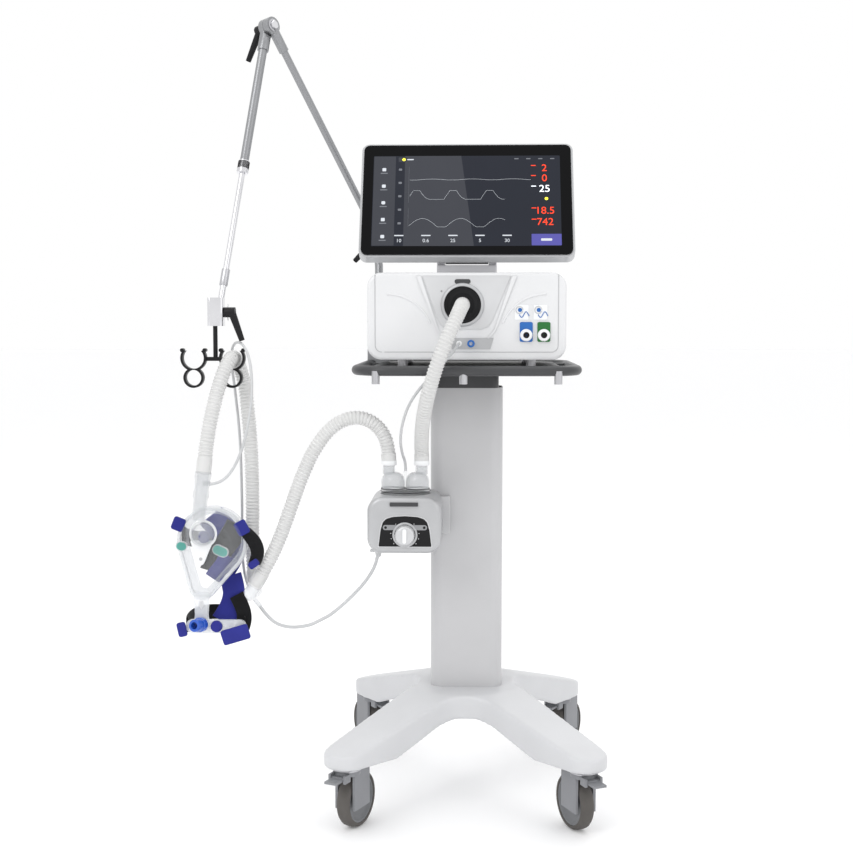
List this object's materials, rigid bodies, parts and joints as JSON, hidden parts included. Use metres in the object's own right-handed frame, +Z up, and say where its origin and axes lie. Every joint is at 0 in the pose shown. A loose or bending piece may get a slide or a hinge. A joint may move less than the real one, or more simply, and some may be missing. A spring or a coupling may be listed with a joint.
{
  "type": "mechanical ventilator",
  "caption": "Mechanical ventilator with tilting touch screen on a caster cart, with humidifier, jointed support arm, breathing hoses and full-face mask.",
  "frame": {"origin": "on the floor under the centre of the column", "axes": "+Z up, -Y towards the user in front of the screen, +X to the user's right"},
  "size_m": [0.761, 0.5941, 1.4573],
  "materials": {
    "cart_white": "satin white-grey powder coat",
    "cart_dark": "satin dark grey paint",
    "steel": "brushed",
    "chrome": "polished",
    "arm_grey": "satin anodised",
    "caster_grey": "moulded grey plastic",
    "wheel_dark": "dark grey tread",
    "housing_white": "semi-gloss white moulding",
    "black_plastic": "satin black moulding",
    "screen_glass": "black cover glass over a dark display",
    "clear_plastic": "clear moulded plastic",
    "hose_white": "translucent milky corrugated hose",
    "line_grey": "soft translucent line",
    "silicone": "clear soft silicone",
    "strap_blue": "blue and black woven strap",
    "port_colour": "blue and green connector tiles",
    "blower_grey": "moulded"
  },
  "bodies": {
    "root": {"base": "cart_white", "caster_plates": "steel", "column": "cart_white", "column_head": "cart_dark", "handle_rail": "cart_dark", "tray": "cart_dark", "tray_fasteners": "chrome", "housing": "housing_white", "front_panel": "housing_white", "port_ring": "black_plastic", "port_connector": "housing_white", "sensor_ports": "port_colour", "blower": "blower_grey", "oxygen_inlet": "chrome", "hinge_bracket": "steel", "humidifier_bracket": "cart_dark", "humidifier_body": "housing_white", "humidifier_panel": "black_plastic", "water_chamber": "clear_plastic", "post_clamp": "arm_grey", "short_hose": "hose_white", "limb_hose_a": "hose_white", "cable_a": "line_grey", "sensor_line": "line_grey"},
    "monitor": {"monitor_back": "housing_white", "monitor_glass": "screen_glass"},
    "humidifier_dial": {"dial": "housing_white"},
    "chamber_latch": {"latch_button": "housing_white"},
    "arm_swivel_post": {"arm_post": "arm_grey", "limb_hose_b": "hose_white", "cable_b": "line_grey"},
    "elbow_clamp": {"elbow_lever": "black_plastic"},
    "arm_lower": {"lower_arm": "arm_grey", "circuit_junction": "housing_white", "limb_hose_c": "hose_white", "pressure_line_c": "line_grey"},
    "arm_upper": {"upper_arm": "arm_grey", "extension_rod": "chrome", "tilt_bracket": "chrome", "hose_hooks": "black_plastic", "limb_hose_d": "hose_white", "pressure_line_d": "line_grey", "mask_frame": "clear_plastic", "mask_cushion": "silicone", "headgear": "strap_blue", "mask_elbow": "clear_plastic"},
    "top_clamp": {"top_lever": "black_plastic"},
    "bracket_clamp": {"bracket_lever": "black_plastic"},
    "front_left_caster": {"front_left_fork": "caster_grey"},
    "front_left_wheel": {"front_left_wheel": "wheel_dark"},
    "front_left_brake": {"front_left_brake": "caster_grey"},
    "front_right_caster": {"front_right_fork": "caster_grey"},
    "front_right_wheel": {"front_right_wheel": "wheel_dark"},
    "front_right_brake": {"front_right_brake": "caster_grey"},
    "rear_left_caster": {"rear_left_fork": "caster_grey"},
    "rear_left_wheel": {"rear_left_wheel": "wheel_dark"},
    "rear_left_brake": {"rear_left_brake": "caster_grey"},
    "rear_right_caster": {"rear_right_fork": "caster_grey"},
    "rear_right_wheel": {"rear_right_wheel": "wheel_dark"},
    "rear_right_brake": {"rear_right_brake": "caster_grey"}
  },
  "joints": [
    {"name": "monitor_tilt", "type": "hinge", "parent": "root", "child": "monitor", "pos_m": [0, -0.075, 1.006], "axis": [1, 0, 0], "range_deg": [-20, 10]},
    {"name": "dial_turn", "type": "hinge", "parent": "root", "child": "humidifier_dial", "pos_m": [-0.107, -0.19, 0.518], "axis": [0, 1, 0], "range_deg": [-135, 135]},
    {"name": "latch_press", "type": "slide", "parent": "root", "child": "chamber_latch", "axis": [0, 1, 0], "range_m": [0, 0.003], "stiffness_N_per_m": 200},
    {"name": "arm_swivel", "type": "hinge", "parent": "root", "child": "arm_swivel_post", "pos_m": [-0.178, 0.182, 1.048], "axis": [0, 0, 1], "range_deg": [-12, 12], "deforming": ["limb_hose_a", "cable_a"]},
    {"name": "arm_elbow", "type": "hinge", "parent": "arm_swivel_post", "child": "arm_lower", "pos_m": [-0.178, 0.182, 1.048], "axis": [-0.6429, 0.7659, 0], "range_deg": [-8, 8], "deforming": ["limb_hose_b", "cable_b"]},
    {"name": "arm_top", "type": "hinge", "parent": "arm_lower", "child": "arm_upper", "pos_m": [-0.371, 0.02, 1.44], "axis": [0.7639, -0.6353, 0.1135], "range_deg": [-6, 1], "deforming": ["limb_hose_c", "pressure_line_c"]},
    {"name": "elbow_lever_turn", "type": "hinge", "parent": "arm_swivel_post", "child": "elbow_clamp", "pos_m": [-0.178, 0.182, 1.048], "axis": [-0.6429, 0.7659, 0], "range_deg": [-35, 35]},
    {"name": "top_lever_turn", "type": "hinge", "parent": "arm_upper", "child": "top_clamp", "pos_m": [-0.371, 0.02, 1.44], "axis": [0.7639, -0.6353, 0.1135], "range_deg": [-35, 35]},
    {"name": "bracket_lever_turn", "type": "hinge", "parent": "arm_upper", "child": "bracket_clamp", "pos_m": [-0.429, -0.15, 0.908], "axis": [1, 0, 0], "range_deg": [-35, 35]},
    {"name": "front_left_swivel", "type": "hinge", "parent": "root", "child": "front_left_caster", "pos_m": [-0.207, -0.238, 0.12], "axis": [0, 0, 1], "continuous": true},
    {"name": "front_left_roll", "type": "hinge", "parent": "front_left_caster", "child": "front_left_wheel", "pos_m": [-0.19348, -0.209, 0.05], "axis": [-0.9063, 0.4226, 0], "continuous": true},
    {"name": "front_left_brake_press", "type": "hinge", "parent": "front_left_caster", "child": "front_left_brake", "pos_m": [-0.21926, -0.26428, 0.102], "axis": [-0.9063, 0.4226, 0], "range_deg": [-12, 0]},
    {"name": "front_right_swivel", "type": "hinge", "parent": "root", "child": "front_right_caster", "pos_m": [0.207, -0.238, 0.12], "axis": [0, 0, 1], "continuous": true},
    {"name": "front_right_roll", "type": "hinge", "parent": "front_right_caster", "child": "front_right_wheel", "pos_m": [0.19348, -0.209, 0.05], "axis": [-0.9063, -0.4226, 0], "continuous": true},
    {"name": "front_right_brake_press", "type": "hinge", "parent": "front_right_caster", "child": "front_right_brake", "pos_m": [0.21926, -0.26428, 0.102], "axis": [-0.9063, -0.4226, 0], "range_deg": [-12, 0]},
    {"name": "rear_left_swivel", "type": "hinge", "parent": "root", "child": "rear_left_caster", "pos_m": [-0.192, 0.225, 0.12], "axis": [0, 0, 1], "continuous": true},
    {"name": "rear_left_roll", "type": "hinge", "parent": "rear_left_caster", "child": "rear_left_wheel", "pos_m": [-0.208, 0.25271, 0.05], "axis": [-0.866, -0.5, 0], "continuous": true},
    {"name": "rear_left_brake_press", "type": "hinge", "parent": "rear_left_caster", "child": "rear_left_brake", "pos_m": [-0.1775, 0.19989, 0.102], "axis": [-0.866, -0.5, 0], "range_deg": [-12, 0]},
    {"name": "rear_right_swivel", "type": "hinge", "parent": "root", "child": "rear_right_caster", "pos_m": [0.192, 0.225, 0.12], "axis": [0, 0, 1], "continuous": true},
    {"name": "rear_right_roll", "type": "hinge", "parent": "rear_right_caster", "child": "rear_right_wheel", "pos_m": [0.208, 0.25271, 0.05], "axis": [-0.866, 0.5, 0], "continuous": true},
    {"name": "rear_right_brake_press", "type": "hinge", "parent": "rear_right_caster", "child": "rear_right_brake", "pos_m": [0.1775, 0.19989, 0.102], "axis": [-0.866, 0.5, 0], "range_deg": [-12, 0]}
  ]
}
